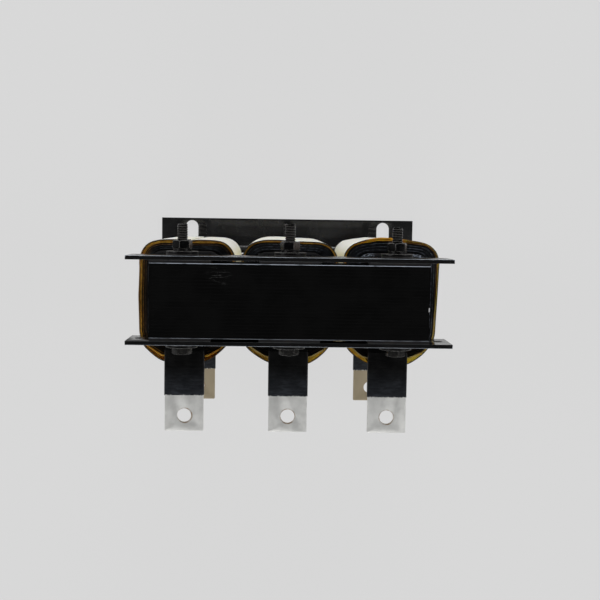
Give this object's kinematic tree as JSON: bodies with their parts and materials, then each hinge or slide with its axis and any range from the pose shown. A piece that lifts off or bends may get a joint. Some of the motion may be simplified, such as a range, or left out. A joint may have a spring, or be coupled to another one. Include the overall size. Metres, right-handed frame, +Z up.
{
  "type": "motor reactor",
  "caption": "Upright three-phase motor reactor: foil-wound coils on a laminated core, clamped by bars and slotted foot angles, with flat bar terminals at the front.",
  "frame": {"origin": "under the middle limb, centre of the core, on the plane the feet stand on", "axes": "+Z up along the limbs, +X along the row of coils, -Y towards the terminals"},
  "size_m": [0.24, 0.1664, 0.25],
  "materials": {
    "lamination_lacquer": "black lacquer over silicon steel sheet edges, matt",
    "clamp_paint": "satin black paint on 3 mm steel",
    "black_oxide_steel": "black oxide, slightly oily",
    "washer_steel": "dark plated steel, rubbed on the rims",
    "insulating_board": "grey glass-fibre board, cut edges rough",
    "dark_insulation": "dark phenolic board",
    "coil_former_board": "grey glass-fibre board tube, rough ends",
    "copper_foil": "copper foil, edges under dark varnish",
    "interleaf_film": "insulating sheet soaked in dark varnish",
    "wrap_sheet": "cream insulating sheet, amber where varnish has soaked in",
    "tinned_copper": "hot-tinned copper bar, fine scratches",
    "shrink_sleeve": "black heat-shrink tube, fine wrinkles"
  },
  "bodies": {
    "root": {"top_yoke": "lamination_lacquer", "bottom_yoke": "lamination_lacquer", "left_limb_lower_block": "lamination_lacquer", "left_limb_centre_block": "lamination_lacquer", "left_limb_upper_block": "lamination_lacquer", "middle_limb_lower_block": "lamination_lacquer", "middle_limb_centre_block": "lamination_lacquer", "middle_limb_upper_block": "lamination_lacquer", "right_limb_lower_block": "lamination_lacquer", "right_limb_centre_block": "lamination_lacquer", "right_limb_upper_block": "lamination_lacquer", "gap_plates": "insulating_board", "left_front_strip": "insulating_board", "left_back_strip": "insulating_board", "left_packing_wedges": "insulating_board", "middle_front_strip": "insulating_board", "middle_back_strip": "insulating_board", "middle_packing_wedges": "insulating_board", "right_front_strip": "insulating_board", "right_back_strip": "insulating_board", "right_packing_wedges": "insulating_board", "clamp_bar_front": "clamp_paint", "clamp_bar_back": "clamp_paint", "foot_angle_front": "clamp_paint", "foot_angle_back": "clamp_paint", "upper_yoke_bolts": "black_oxide_steel", "lower_yoke_bolts": "black_oxide_steel", "yoke_bolt_nuts": "black_oxide_steel", "steel_washers": "washer_steel", "spring_washers": "washer_steel", "insulating_washers": "dark_insulation", "bolt_insulating_tubes": "dark_insulation", "left_former": "coil_former_board", "left_foil_winding": "copper_foil", "left_interleaf": "interleaf_film", "left_outer_wrap": "wrap_sheet", "left_start_lead": "tinned_copper", "left_finish_lead": "tinned_copper", "left_start_sleeve": "shrink_sleeve", "left_finish_sleeve": "shrink_sleeve", "middle_former": "coil_former_board", "middle_foil_winding": "copper_foil", "middle_interleaf": "interleaf_film", "middle_outer_wrap": "wrap_sheet", "middle_start_lead": "tinned_copper", "middle_finish_lead": "tinned_copper", "middle_start_sleeve": "shrink_sleeve", "middle_finish_sleeve": "shrink_sleeve", "right_former": "coil_former_board", "right_foil_winding": "copper_foil", "right_interleaf": "interleaf_film", "right_outer_wrap": "wrap_sheet", "right_start_lead": "tinned_copper", "right_finish_lead": "tinned_copper", "right_start_sleeve": "shrink_sleeve", "right_finish_sleeve": "shrink_sleeve"}
  },
  "joints": []
}
